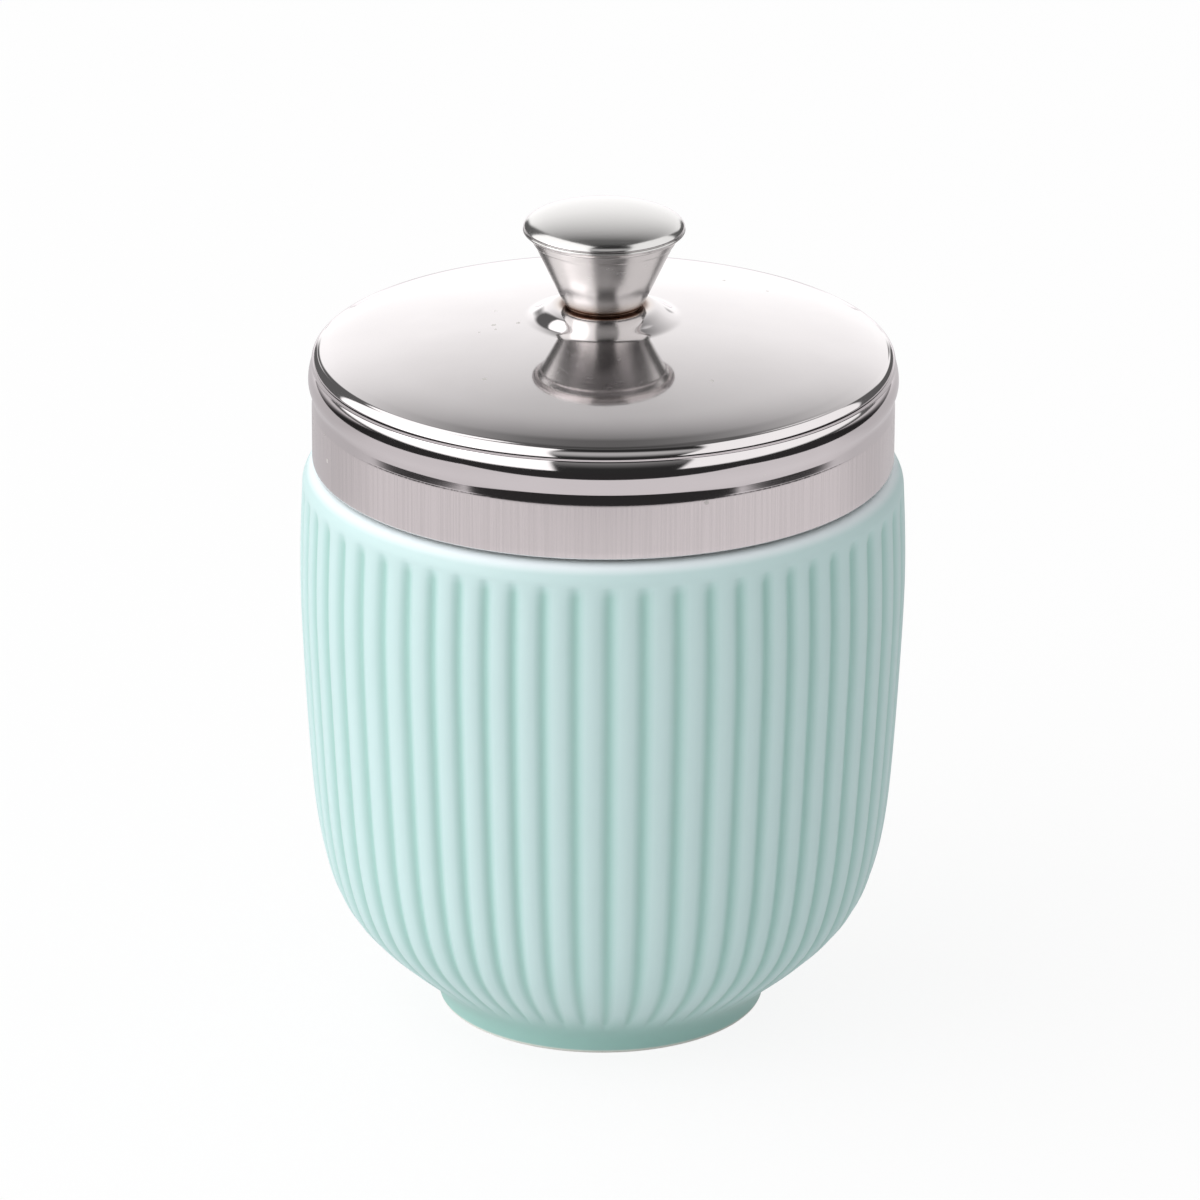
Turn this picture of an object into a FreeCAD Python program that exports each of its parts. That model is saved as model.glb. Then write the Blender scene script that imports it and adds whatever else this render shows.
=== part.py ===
import FreeCAD, Part
import math
import os

# Egg coddler: a fluted porcelain cup closed by a polished screw-on steel lid with a cone-shaped knob.
# Millimetres. +Z is up, the origin is the centre of the foot's rest plane, and the axis is Z.

# Cup, outside
BODY_R = 32.5          # rib crests at the widest place
BODY_WIDEST_Z = 50.0
FOOT_R = 17.65
FOOT_RISE = 3.3        # height of the foot ring up to the body
FOOT_FLARE = 1.5       # how far the foot ring widens before it meets the body
FOOT_EDGE = 0.5        # rounding of the rest face's outer edge and of the hollow's edge
FOOT_BAND = 3.2        # width of the foot ring
FOOT_HOLLOW = 2.0      # depth of the hollow under the cup
RIB_COUNT = 60
RIB_DEPTH = 0.42       # valley below crest on the wall
RIB_DEPTH_LOW = 0.26   # the same near the foot, where the ribs are narrow
RIB_SECTIONS = (0.0, 1.3, 4.4, 6.4, 8.4, 11.5, 16.5, 25.0)   # above the foot ring
RIB_TOP_Z = 59.2
RIB_FADE_TOP = 1.9     # the ribs' rounded upper ends
RIB_FADE_LOW = 1.3
LEDGE_Z = 61.75        # flat ledge that the lid's skirt stands over
SHOULDER_W = 2.4       # how far the shoulder rounds inward to the ledge

# Cup, inside and neck
WALL = 3.3
FLOOR = 4.2            # between the hollow under the foot and the inside
BOWL_H = 11.0          # height of the rounded bottom inside
BOWL_TAPER = 1.9       # how much narrower the inside is at the top of that bottom
BOWL_FLAT_IN = 3.0     # the flat floor ends this far inside the foot ring
NECK_WALL = 3.1
NECK_FILLET = 0.8
RIM_Z = 72.5
RIM_ROUND = 0.9

# Lid shell: one pressing of sheet steel
SHEET = 0.6
SKIRT_R = 31.05
SKIRT_Z = 62.1         # lower edge of the skirt
SKIRT_TOP_Z = 68.2
COVE_Z = 69.1
COVE_DEPTH = 0.25
BEAD_LOW_Z = 69.9
BEAD_Z = 70.9
BEAD_PROUD = 0.35
BEAD_HIGH_Z = 72.6
EDGE_Z = 73.1          # where the lid's edge stands vertical above the bead
EDGE_ROUND = 1.2
BAND_SLOPE = 23.0      # degrees, of the narrow band between the edge and the dome
BAND_W = 1.2
DOME_R = 125.0
BOSS_R = 8.05
BOSS_TOP_R = 5.6
BOSS_RISE = 1.35

# Pieces inside the lid
RING_SHEET = 0.7
RING_GAP = 0.05        # press fit of the thread ring in the skirt
RING_LOW_GAP = 1.3     # the ring's lower edge stands this far above the skirt's
RING_H = 8.4
RING_LIP = 1.1         # width of the ring's inward lip under the seal's edge
THREAD_SPACE = 1.45    # radial room between neck and ring for the two threads
SEAL_INSET = 0.5       # inner edge of the seal outside the cup's mouth
SEAL_T = 1.2
SEAL_GAP = 0.1         # over the flat rim
SEAL_SIDE_GAP = 0.35   # to the lid's inside

# Knob
KNOB_SHEET = 0.7
KNOB_LOW_R = 4.45
KNOB_ANGLE = 25.8      # degrees, half-angle of the cone
KNOB_LOW_ROUND = 0.9
KNOB_H = 7.9           # cone from the boss to the cap's seat
CAP_OVERHANG = 0.75
CAP_EDGE_T = 0.75
CAP_SAG = 2.0
CAP_SPIGOT_GAP = 0.1
CAP_SPIGOT_H = 1.6

AXIS_FOOT = FreeCAD.Vector(0, 0, 0)
AXIS_UP = FreeCAD.Vector(0, 0, 1)


def at(r, z):
    return FreeCAD.Vector(r, 0, z)


def line(a, b):
    return Part.LineSegment(at(*a), at(*b)).toShape()


def arc(a, middle, b):
    return Part.Arc(at(*a), at(*middle), at(*b)).toShape()


def turned(edges):
    """Solid of revolution about Z from a closed outline in the XZ plane."""
    face = Part.Face(Part.Wire(edges))
    return face.revolve(AXIS_FOOT, AXIS_UP, 360)


def outline(points):
    """Straight edges around a closed list of points."""
    return [line(a, b) for a, b in zip(points, points[1:] + points[:1])]


def pressed(outer, inner):
    """Sheet between two open outlines that both end on the axis, turned about Z."""
    start = line(outer[0], inner[0])
    end = line(outer[1], inner[1])
    return turned(outer[2] + [start] + inner[2] + [end])


def curve(stations):
    """Smooth edge through a few (radius, height) stations."""
    spline = Part.BSplineCurve()
    spline.interpolate([at(r, z) for r, z in stations])
    return spline


def body_stations(inset):
    """The cup's belly from the foot up, set in from the rib crests by inset."""
    foot_top = FOOT_R + FOOT_FLARE
    return [
        (foot_top - inset, FOOT_RISE),
        (BODY_R - 7.7 - inset, FOOT_RISE + 4.8),
        (BODY_R - 4.5 - inset, FOOT_RISE + 8.7),
        (BODY_R - 2.3 - inset, FOOT_RISE + 14.7),
        (BODY_R - 1.0 - inset, FOOT_RISE + 24.7),
        (BODY_R - 0.3 - inset, BODY_WIDEST_Z - 10.0),
        (BODY_R - inset, BODY_WIDEST_Z),
        (BODY_R - 0.3 - inset, RIB_TOP_Z),
    ]


BELLY = curve(body_stations(0.0))


def belly_radius(z):
    """Crest radius of the belly at a height."""
    plane_cut = BELLY.intersectCC(Part.Line(at(0, z), at(BODY_R, z)))
    points = [p for p in plane_cut if abs(p.Z - z) < 0.001]
    return points[0].X


def rib_depth(z):
    """Depth of the valleys at a height, fading out at both ends of the ribs."""
    low = FOOT_RISE
    full = low + 12.0
    share = min(1.0, max(0.0, (z - low) / (full - low)))
    depth = RIB_DEPTH_LOW + (RIB_DEPTH - RIB_DEPTH_LOW) * share
    into_top = min(1.0, (RIB_TOP_Z - z) / RIB_FADE_TOP)
    into_low = min(1.0, (z - low) / RIB_FADE_LOW)
    return depth * math.sqrt(max(0.0, into_top * (2.0 - into_top))) * max(0.0, into_low)


def ribbed_wire(z):
    """Section of the fluted wall: one convex arc for each rib."""
    crest = belly_radius(z)
    valley = crest - rib_depth(z)
    step = 2.0 * math.pi / RIB_COUNT
    edges = []
    for k in range(RIB_COUNT):
        start = FreeCAD.Vector(valley * math.cos(k * step), valley * math.sin(k * step), z)
        top = FreeCAD.Vector(crest * math.cos((k + 0.5) * step), crest * math.sin((k + 0.5) * step), z)
        end = FreeCAD.Vector(valley * math.cos((k + 1) * step), valley * math.sin((k + 1) * step), z)
        edges.append(Part.Arc(start, top, end).toShape())
    return Part.Wire(edges)


def fluted_wall():
    """Solid body between the foot and the shoulder, ruled between ribbed sections."""
    low = FOOT_RISE
    heights = [low + rise for rise in RIB_SECTIONS]
    heights += [BODY_WIDEST_Z - 9.0, BODY_WIDEST_Z]
    heights += [RIB_TOP_Z - fade * RIB_FADE_TOP for fade in (1.0, 0.3, 0.0)]
    return Part.makeLoft([ribbed_wire(z) for z in heights], True, True)


NECK_R = SKIRT_R - SHEET - RING_GAP - RING_SHEET - THREAD_SPACE
MOUTH_R = NECK_R - NECK_WALL
FOOT_IN_R = FOOT_R - FOOT_BAND
FLOOR_Z = FOOT_HOLLOW + FLOOR


def foot():
    top_r = FOOT_R + FOOT_FLARE
    bend = FOOT_EDGE * (1.0 - math.sqrt(0.5))
    return turned([
        line((0, FOOT_HOLLOW), (FOOT_IN_R - FOOT_EDGE, FOOT_HOLLOW)),
        arc((FOOT_IN_R - FOOT_EDGE, FOOT_HOLLOW), (FOOT_IN_R - bend, FOOT_HOLLOW - bend),
            (FOOT_IN_R, FOOT_HOLLOW - FOOT_EDGE)),
        line((FOOT_IN_R, FOOT_HOLLOW - FOOT_EDGE), (FOOT_IN_R, FOOT_EDGE)),
        arc((FOOT_IN_R, FOOT_EDGE), (FOOT_IN_R + bend, bend), (FOOT_IN_R + FOOT_EDGE, 0)),
        line((FOOT_IN_R + FOOT_EDGE, 0), (FOOT_R - FOOT_EDGE, 0)),
        arc((FOOT_R - FOOT_EDGE, 0), (FOOT_R - bend, bend), (FOOT_R, FOOT_EDGE)),
        arc((FOOT_R, FOOT_EDGE), (FOOT_R + 0.26 * FOOT_FLARE, 0.55 * FOOT_RISE), (top_r, FOOT_RISE)),
        line((top_r, FOOT_RISE), (0, FOOT_RISE)),
        line((0, FOOT_RISE), (0, FOOT_HOLLOW)),
    ])


def shoulder_and_neck():
    crest = belly_radius(RIB_TOP_Z)
    rise = LEDGE_Z - RIB_TOP_Z
    slant = math.sqrt(0.5)
    ledge_r = crest - SHOULDER_W
    rim_in = RIM_ROUND * (1.0 - slant)
    fillet = NECK_FILLET * (1.0 - slant)
    return turned([
        line((0, RIB_TOP_Z), (crest, RIB_TOP_Z)),
        arc((crest, RIB_TOP_Z), (ledge_r + SHOULDER_W * slant, RIB_TOP_Z + rise * slant), (ledge_r, LEDGE_Z)),
        line((ledge_r, LEDGE_Z), (NECK_R + NECK_FILLET, LEDGE_Z)),
        arc((NECK_R + NECK_FILLET, LEDGE_Z), (NECK_R + fillet, LEDGE_Z + fillet),
            (NECK_R, LEDGE_Z + NECK_FILLET)),
        line((NECK_R, LEDGE_Z + NECK_FILLET), (NECK_R, RIM_Z - RIM_ROUND)),
        arc((NECK_R, RIM_Z - RIM_ROUND), (NECK_R - rim_in, RIM_Z - rim_in), (NECK_R - RIM_ROUND, RIM_Z)),
        line((NECK_R - RIM_ROUND, RIM_Z), (0, RIM_Z)),
        line((0, RIM_Z), (0, RIB_TOP_Z)),
    ])


def inside():
    """The space in the cup, up through the rounded lip of the mouth."""
    wall_r = BODY_R - RIB_DEPTH - WALL
    floor_r = FOOT_IN_R - BOWL_FLAT_IN
    bowl_top = (wall_r - BOWL_TAPER, FLOOR_Z + BOWL_H)
    bowl_mid = (wall_r - 3.4 * BOWL_TAPER, FLOOR_Z + 0.34 * BOWL_H)
    knee = (wall_r, RIB_TOP_Z - WALL)
    neck_in = (MOUTH_R, LEDGE_Z)
    turn_in = (0.7 * wall_r + 0.3 * MOUTH_R, 0.5 * (knee[1] + LEDGE_Z))
    wall_mid_z = 0.5 * (bowl_top[1] + knee[1])
    rim_in = RIM_ROUND * (1.0 - math.sqrt(0.5))
    lip_z = RIM_Z - RIM_ROUND
    over = RIM_Z + RIM_ROUND
    return turned([
        line((0, FLOOR_Z), (floor_r, FLOOR_Z)),
        arc((floor_r, FLOOR_Z), bowl_mid, bowl_top),
        arc(bowl_top, (wall_r - 0.22 * BOWL_TAPER, wall_mid_z), knee),
        arc(knee, turn_in, neck_in),
        line(neck_in, (MOUTH_R, lip_z)),
        arc((MOUTH_R, lip_z), (MOUTH_R + rim_in, RIM_Z - rim_in), (MOUTH_R + RIM_ROUND, RIM_Z)),
        line((MOUTH_R + RIM_ROUND, RIM_Z), (MOUTH_R + RIM_ROUND, over)),
        line((MOUTH_R + RIM_ROUND, over), (0, over)),
        line((0, over), (0, FLOOR_Z)),
    ])


def cup():
    return fluted_wall().fuse([foot(), shoulder_and_neck()]).cut(inside())


def band_end():
    """Radius and height of the crease between the lid's edge band and its dome."""
    slope = math.radians(BAND_SLOPE)
    edge_r = SKIRT_R - EDGE_ROUND + EDGE_ROUND * math.sin(slope)
    edge_z = EDGE_Z + EDGE_ROUND * math.cos(slope)
    return edge_r - BAND_W * math.cos(slope), edge_z + BAND_W * math.sin(slope)


def dome_z(r):
    """Height of the lid's dome above a radius, outside the boss."""
    crease_r, crease_z = band_end()
    centre_z = crease_z - math.sqrt(DOME_R ** 2 - crease_r ** 2)
    return centre_z + math.sqrt(DOME_R ** 2 - r ** 2)


BOSS_TOP_Z = dome_z(BOSS_R) + BOSS_RISE


def lid_side(inset):
    """The lid's outline from the skirt's lower edge to the axis, set in by a sheet thickness."""
    slope = math.radians(BAND_SLOPE)
    side_r = SKIRT_R - inset
    centre_r = SKIRT_R - EDGE_ROUND
    edge_round = EDGE_ROUND - inset
    edge_half = 0.5 * (math.pi / 2.0 - slope)
    edge_mid = (centre_r + edge_round * math.cos(edge_half), EDGE_Z + edge_round * math.sin(edge_half))
    edge_end = (centre_r + edge_round * math.sin(slope), EDGE_Z + edge_round * math.cos(slope))
    crease_r = edge_end[0] - BAND_W * math.cos(slope)
    crease_z = edge_end[1] + BAND_W * math.sin(slope)
    boss_r = BOSS_R - inset
    boss_z = dome_z(boss_r) - inset
    top_r = BOSS_TOP_R - 0.5 * inset
    top_z = BOSS_TOP_Z - inset
    mid_r = 0.5 * (crease_r + boss_r)
    start = (side_r, SKIRT_Z)
    edges = [
        line(start, (side_r, SKIRT_TOP_Z)),
        arc((side_r, SKIRT_TOP_Z), (side_r - COVE_DEPTH, COVE_Z), (side_r, BEAD_LOW_Z)),
        arc((side_r, BEAD_LOW_Z), (side_r + BEAD_PROUD, BEAD_Z), (side_r, BEAD_HIGH_Z)),
        line((side_r, BEAD_HIGH_Z), (side_r, EDGE_Z)),
        arc((side_r, EDGE_Z), edge_mid, edge_end),
        line(edge_end, (crease_r, crease_z)),
        arc((crease_r, crease_z), (mid_r, dome_z(mid_r) - inset), (boss_r, boss_z)),
        line((boss_r, boss_z), (top_r, top_z)),
        line((top_r, top_z), (0, top_z)),
    ]
    return start, (0, top_z), edges


def lid_shell():
    return pressed(lid_side(0.0), lid_side(SHEET))


def thread_ring():
    """Inner ring that carries the lid's thread, pressed into the skirt."""
    out_r = SKIRT_R - SHEET - RING_GAP
    in_r = out_r - RING_SHEET
    low = SKIRT_Z + RING_LOW_GAP
    high = low + RING_H
    return turned(outline([
        (in_r, low),
        (out_r, low),
        (out_r, SKIRT_TOP_Z),
        (out_r - COVE_DEPTH, SKIRT_TOP_Z + 0.3),
        (out_r - COVE_DEPTH, high),
        (in_r - RING_LIP, high),
        (in_r - RING_LIP, high - RING_SHEET),
        (in_r, high - RING_SHEET),
    ]))


def seal_ring():
    """Flat silicone ring between the cup's rim and the lid's dome."""
    in_r = MOUTH_R + SEAL_INSET
    out_r = NECK_R + 0.2
    low = RIM_Z + SEAL_GAP
    return turned(outline([
        (in_r, low),
        (out_r, low),
        (out_r, min(low + SEAL_T, dome_z(out_r) - SHEET - SEAL_SIDE_GAP)),
        (in_r, min(low + SEAL_T, dome_z(in_r) - SHEET - SEAL_SIDE_GAP)),
    ]))


CONE_TAN = math.tan(math.radians(KNOB_ANGLE))
CAP_SEAT_Z = BOSS_TOP_Z + KNOB_H
CONE_TOP_R = KNOB_LOW_R + (KNOB_H - KNOB_LOW_ROUND) * CONE_TAN
CAP_R = CONE_TOP_R + CAP_OVERHANG


def cone_side(inset):
    """The cone's outline from its lip down to the axis, set in by a sheet thickness."""
    turn = math.radians(90.0 - KNOB_ANGLE)
    low_round = KNOB_LOW_ROUND - inset
    centre_r = KNOB_LOW_R - KNOB_LOW_ROUND
    centre_z = BOSS_TOP_Z + KNOB_LOW_ROUND
    middle = (centre_r + low_round * math.sin(0.5 * turn), centre_z - low_round * math.cos(0.5 * turn))
    end = (centre_r + low_round * math.sin(turn), centre_z - low_round * math.cos(turn))
    low_z = BOSS_TOP_Z + inset
    lip = (end[0] + (CAP_SEAT_Z - end[1]) * CONE_TAN, CAP_SEAT_Z)
    edges = [
        line(lip, end),
        arc(end, middle, (centre_r, low_z)),
        line((centre_r, low_z), (0, low_z)),
    ]
    return lip, (0, low_z), edges


def knob_cone():
    """Pressed cup of the knob, standing on the boss."""
    return pressed(cone_side(0.0), cone_side(KNOB_SHEET))


def knob_cap():
    """Domed cap with a rounded edge and a spigot that seats in the cone."""
    seat = CAP_SEAT_Z
    top = seat + CAP_EDGE_T
    dome_r = (CAP_R ** 2 + CAP_SAG ** 2) / (2.0 * CAP_SAG)
    centre_z = top + CAP_SAG - dome_r
    mid_r = 0.5 * CAP_R
    mid_z = centre_z + math.sqrt(dome_r ** 2 - mid_r ** 2)
    brow_r = CAP_R - 0.1 * CAP_EDGE_T
    brow_z = centre_z + math.sqrt(dome_r ** 2 - brow_r ** 2)
    spigot_r = CONE_TOP_R - (KNOB_SHEET + CAP_SPIGOT_GAP) / math.cos(math.radians(KNOB_ANGLE))
    low_r = spigot_r - CAP_SPIGOT_H * CONE_TAN
    return turned([
        line((0, seat - CAP_SPIGOT_H), (low_r, seat - CAP_SPIGOT_H)),
        line((low_r, seat - CAP_SPIGOT_H), (spigot_r, seat)),
        line((spigot_r, seat), (CAP_R - 0.5 * CAP_EDGE_T, seat)),
        arc((CAP_R - 0.5 * CAP_EDGE_T, seat), (CAP_R, seat + 0.5 * CAP_EDGE_T), (brow_r, brow_z)),
        arc((brow_r, brow_z), (mid_r, mid_z), (0, top + CAP_SAG)),
        line((0, top + CAP_SAG), (0, seat - CAP_SPIGOT_H)),
    ])


PIECES = {
    "cup": cup,
    "seal_ring": seal_ring,
    "lid_shell": lid_shell,
    "thread_ring": thread_ring,
    "knob_cone": knob_cone,
    "knob_cap": knob_cap,
}

os.makedirs("parts", exist_ok=True)
for name, make in PIECES.items():
    shape = make()
    shape.exportStep("parts/" + name + ".step")
    box = shape.optimalBoundingBox()
    print(name, "valid", shape.isValid(), "solids", len(shape.Solids), "volume", round(shape.Volume),
          "z", round(box.ZMin, 2), round(box.ZMax, 2), "r", round(box.XMax, 2))
print("capacity to the brim, ml:", round(inside().Volume / 1000.0, 1))
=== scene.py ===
import math
import bpy
import numpy as np
from mathutils import Matrix, Vector


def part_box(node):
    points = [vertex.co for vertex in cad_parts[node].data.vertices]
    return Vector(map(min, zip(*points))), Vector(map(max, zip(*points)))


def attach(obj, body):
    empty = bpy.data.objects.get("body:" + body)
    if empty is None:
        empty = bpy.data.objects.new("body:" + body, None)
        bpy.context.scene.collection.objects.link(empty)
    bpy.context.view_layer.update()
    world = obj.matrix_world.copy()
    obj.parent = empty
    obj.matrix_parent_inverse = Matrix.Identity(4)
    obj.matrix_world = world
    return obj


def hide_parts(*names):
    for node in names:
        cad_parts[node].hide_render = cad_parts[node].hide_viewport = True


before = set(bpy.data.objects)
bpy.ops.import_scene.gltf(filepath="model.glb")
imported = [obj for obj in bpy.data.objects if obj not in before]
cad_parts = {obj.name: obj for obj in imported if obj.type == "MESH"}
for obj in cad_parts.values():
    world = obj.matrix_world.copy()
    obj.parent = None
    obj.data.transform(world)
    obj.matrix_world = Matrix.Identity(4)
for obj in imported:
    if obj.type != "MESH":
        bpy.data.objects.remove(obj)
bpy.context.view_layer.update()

# Sizes are in millimetres, and lathe() turns them into metres.
MM = 0.001


def node_size(node):
    """Largest radius, lowest height and highest height of a CAD node, in millimetres."""
    low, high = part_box(node)
    return high[0] / MM, low[2] / MM, high[2] / MM


_, _, RIM_Z = node_size("cup")
_, SKIRT_Z, BOSS_TOP_Z = node_size("lid_shell")
RING_R, RING_Z, RING_TOP_Z = node_size("thread_ring")
SEAL_R, SEAL_Z, SEAL_TOP_Z = node_size("seal_ring")
CONE_R, _, CAP_SEAT_Z = node_size("knob_cone")
CAP_R, CAP_LOW_Z, CAP_TOP_Z = node_size("knob_cap")

# Cup
BODY_R = 32.45
BODY_WIDEST_Z = 50.0
FOOT_R = 17.65
FOOT_RISE = 3.3
FOOT_FLARE = 1.5
FOOT_EDGE = 0.5
FOOT_BAND = 3.2
FOOT_HOLLOW = 2.0
FOOT_HOLLOW_ROUND = 0.8
BELLY_LOW = ((7.7, 4.8), (4.5, 8.7), (2.3, 14.7), (1.0, 24.7))     # inside BODY_R, above FOOT_RISE
BELLY_DRAW = 0.3           # how far the belly draws in below its widest height and at the ribs' tops
RIB_COUNT = 60
RIB_DEPTH = 0.44
RIB_DEPTH_LOW = 0.28
RIB_DEEPEN = 12.0          # height over which the ribs reach their full depth
RIB_TOP_Z = 59.6
RIB_FADE_TOP = 1.7
RIB_FADE_LOW = 2.2
RIB_SHARP = 2.4            # higher makes the valleys narrower
RIB_TURN = math.radians(1.7)
RIB_DRIFT = math.radians(0.8)
LEDGE_Z = 61.75
SHOULDER_W = 2.4
WALL = 3.72
BOWL_FLOOR_Z = 6.2
BOWL_H = 11.0
BOWL_TAPER = 1.9
BOWL_FLOOR_IN = 3.0        # the flat floor's edge inside the foot's inner wall
NECK_R = 28.25
NECK_WALL = 3.1
NECK_FILLET = 0.8
NECK_LOW = 1.2             # where the mouth begins to widen, above the ledge
RIM_ROUND = 0.9

# Thread: one helix, its ridge on the neck and the ring's ridge half a pitch below it
LEAD = 4.0
THREAD_START = math.radians(60.0)
NECK_THREAD_Z = 64.3
NECK_THREAD_TURNS = 1.25
RING_THREAD_LATE = 0.58    # turns after the neck's thread begins
RING_THREAD_TURNS = 1.25
THREAD_HIGH = 0.9
THREAD_HALF = 0.85
THREAD_FLAT = 1.6          # higher makes the ridge's top flatter
THREAD_TAPER = math.radians(28.0)

# Lid
SHEET = 0.6
SKIRT_R = 31.05
SKIRT_TOP_Z = 68.2
COVE_Z = 69.4
COVE_DEPTH = 0.10
BEAD_Z = 71.05
BEAD_PROUD = 0.36
BEAD_HIGH_Z = 72.85
EDGE_Z = 73.1
EDGE_ROUND = 1.2
BAND_SLOPE = math.radians(23.0)
BAND_W = 1.2
DOME_R = 132.0
DOME_RISE = 3.46           # apex above the crease
ROLL_FROM = 24.5           # where the dome begins to roll down to the band
BOSS_R = 8.4
BOSS_TOP_R = 5.2

# Inner ring and seal
RING_CLEAR = 1.45          # from the neck to the ring
RING_LIP = 1.1
RING_STEP = 0.33           # how far the ring draws in behind the cove
SEAL_INSET = 0.5           # from the mouth to the seal's inner edge
SEAL_CORNER = 0.25

# Knob
KNOB_SHEET = 0.7
KNOB_LOW_R = 4.45
KNOB_ANGLE = math.radians(25.8)
KNOB_LOW_ROUND = 0.9
CONE_STEP_DROP = 1.0
CONE_STEP_CUT = 0.09
CAP_RIM_RISE = 0.52
CAP_RIM_HALF = 0.15
CAP_DOME_LIFT = 0.26
WELD_R = KNOB_LOW_R - 0.72
WELD_HALF_W = 0.30
WELD_HALF_H = 0.16


def line(a, b, count):
    """Points evenly spaced from a to b, both (radius, height)."""
    return np.linspace(a, b, count)


def arc(centre, radius, start, end, count):
    """Points on a circle about centre from one angle to another, in degrees from the radius axis."""
    turn = np.radians(np.linspace(start, end, count))
    return np.stack([centre[0] + radius * np.cos(turn), centre[1] + radius * np.sin(turn)], 1)


def joined(*runs):
    """One outline from several runs, without the doubled points where they meet."""
    points = np.concatenate(runs)
    keep = np.ones(len(points), bool)
    keep[1:] = np.linalg.norm(np.diff(points, axis=0), axis=1) > 1e-5
    return points[keep]


def through(stations, count):
    """Natural cubic curve through (radius, height) stations, by distance along them."""
    stations = np.asarray(stations, float)
    along = np.concatenate([[0.0], np.cumsum(np.linalg.norm(np.diff(stations, axis=0), axis=1))])
    gap = np.diff(along)
    size = len(stations)
    matrix = np.eye(size)
    inner = np.arange(1, size - 1)
    matrix[inner, inner - 1] = gap[:-1]
    matrix[inner, inner] = 2.0 * (gap[:-1] + gap[1:])
    matrix[inner, inner + 1] = gap[1:]
    slope = np.diff(stations, axis=0) / gap[:, None]
    right = np.zeros((size, 2))
    right[1:-1] = 6.0 * np.diff(slope, axis=0)
    bend = np.linalg.solve(matrix, right)
    at = np.linspace(0.0, along[-1], count)
    k = np.clip(np.searchsorted(along, at, side="right") - 1, 0, size - 2)
    left, rest, h = (at - along[k])[:, None], (along[k + 1] - at)[:, None], gap[k][:, None]
    cubic = (bend[k] * rest ** 3 + bend[k + 1] * left ** 3) / (6.0 * h)
    ends = (stations[k] / h - bend[k] * h / 6.0) * rest + (stations[k + 1] / h - bend[k + 1] * h / 6.0) * left
    return cubic + ends


def smooth(low, high, value):
    """0 below low, 1 above high, and 3t^2 - 2t^3 between."""
    t = np.clip((value - low) / (high - low), 0.0, 1.0)
    return t * t * (3.0 - 2.0 * t)


def lathe(name, outline, azimuths, loop=False, reshape=None, masks=None):
    """Surface of revolution: x = r cos a, y = r sin a, z = height, for each outline point and azimuth.

    An open outline starts and ends on the axis and is closed there by one vertex each.
    reshape(r, z, a) may move the grid, and masks maps attribute names to grids.
    """
    rows, turns = len(outline), len(azimuths)
    r = np.repeat(outline[:, :1], turns, 1)
    z = np.repeat(outline[:, 1:], turns, 1)
    a = np.repeat(azimuths[None, :], rows, 0)
    if reshape is not None:
        r, z = reshape(r, z, a)
    grid = np.stack([r * np.cos(a), r * np.sin(a), z], 2) * MM
    first, last = (0, rows) if loop else (1, rows - 1)
    body = grid[first:last].reshape(-1, 3)
    count = last - first
    i = np.arange(count if loop else count - 1)[:, None]
    j = np.arange(turns)[None, :]
    up = (i + 1) % count
    side = (j + 1) % turns
    quads = np.stack([i * turns + j, i * turns + side, up * turns + side, up * turns + j], 2).reshape(-1, 4)
    vertices = body
    triangles = np.zeros((0, 3), int)
    if not loop:
        bottom, top = len(body), len(body) + 1
        vertices = np.concatenate([body, [[0.0, 0.0, outline[0, 1] * MM]], [[0.0, 0.0, outline[-1, 1] * MM]]])
        ring = np.arange(turns)
        after = (ring + 1) % turns
        end = (count - 1) * turns
        low_fan = np.stack([np.full(turns, bottom), after, ring], 1)
        high_fan = np.stack([np.full(turns, top), end + ring, end + after], 1)
        triangles = np.concatenate([low_fan, high_fan])
    mesh = bpy.data.meshes.new(name)
    mesh.vertices.add(len(vertices))
    mesh.vertices.foreach_set("co", vertices.ravel())
    corners = np.concatenate([quads.ravel(), triangles.ravel()]).astype(np.int32)
    mesh.loops.add(len(corners))
    mesh.loops.foreach_set("vertex_index", corners)
    starts = np.concatenate([np.arange(len(quads)) * 4, len(quads) * 4 + np.arange(len(triangles)) * 3])
    mesh.polygons.add(len(starts))
    mesh.polygons.foreach_set("loop_start", starts.astype(np.int32))
    mesh.polygons.foreach_set("use_smooth", np.ones(len(starts), bool))
    for key, value in (masks or {}).items():
        layer = mesh.attributes.new(key, "FLOAT", "POINT")
        flat = value[first:last].ravel()
        if not loop:
            flat = np.concatenate([flat, value[0, :1], value[-1, :1]])
        layer.data.foreach_set("value", flat.astype(np.float32))
    mesh.update()
    mesh.validate()
    piece = bpy.data.objects.new(name, mesh)
    bpy.context.scene.collection.objects.link(piece)
    return piece


def even_turns(count):
    """Azimuths of one whole turn, evenly spaced, without the last that meets the first."""
    return np.arange(count) * 2.0 * math.pi / count


# Cup

def rib_azimuths():
    """Counted azimuths, ten to a rib and closer together in its valley."""
    across = np.array([0.0, 0.045, 0.10, 0.18, 0.31, 0.50, 0.69, 0.82, 0.90, 0.955])
    return ((np.arange(RIB_COUNT)[:, None] + across[None, :]) * 2.0 * math.pi / RIB_COUNT).ravel()


def mould_azimuth(even):
    """Where a counted azimuth lies on the cup: even + turn + drift * sin 6(even - 5 degrees)."""
    front = even - 0.5 * math.pi + RIB_TURN
    return front + RIB_DRIFT * np.sin(6.0 * (even - math.radians(5.0)))


def valley(even, z):
    """How deep into a rib's valley a point is: cos^2 across the rib, narrowed, fading at both ends."""
    across = np.cos(0.5 * even * RIB_COUNT) ** 2
    top = np.sqrt(smooth(0.0, 1.0, (RIB_TOP_Z - z) / RIB_FADE_TOP))
    low = smooth(0.0, 1.0, (z - FOOT_RISE) / RIB_FADE_LOW)
    return across ** RIB_SHARP * (top * low)


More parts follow.
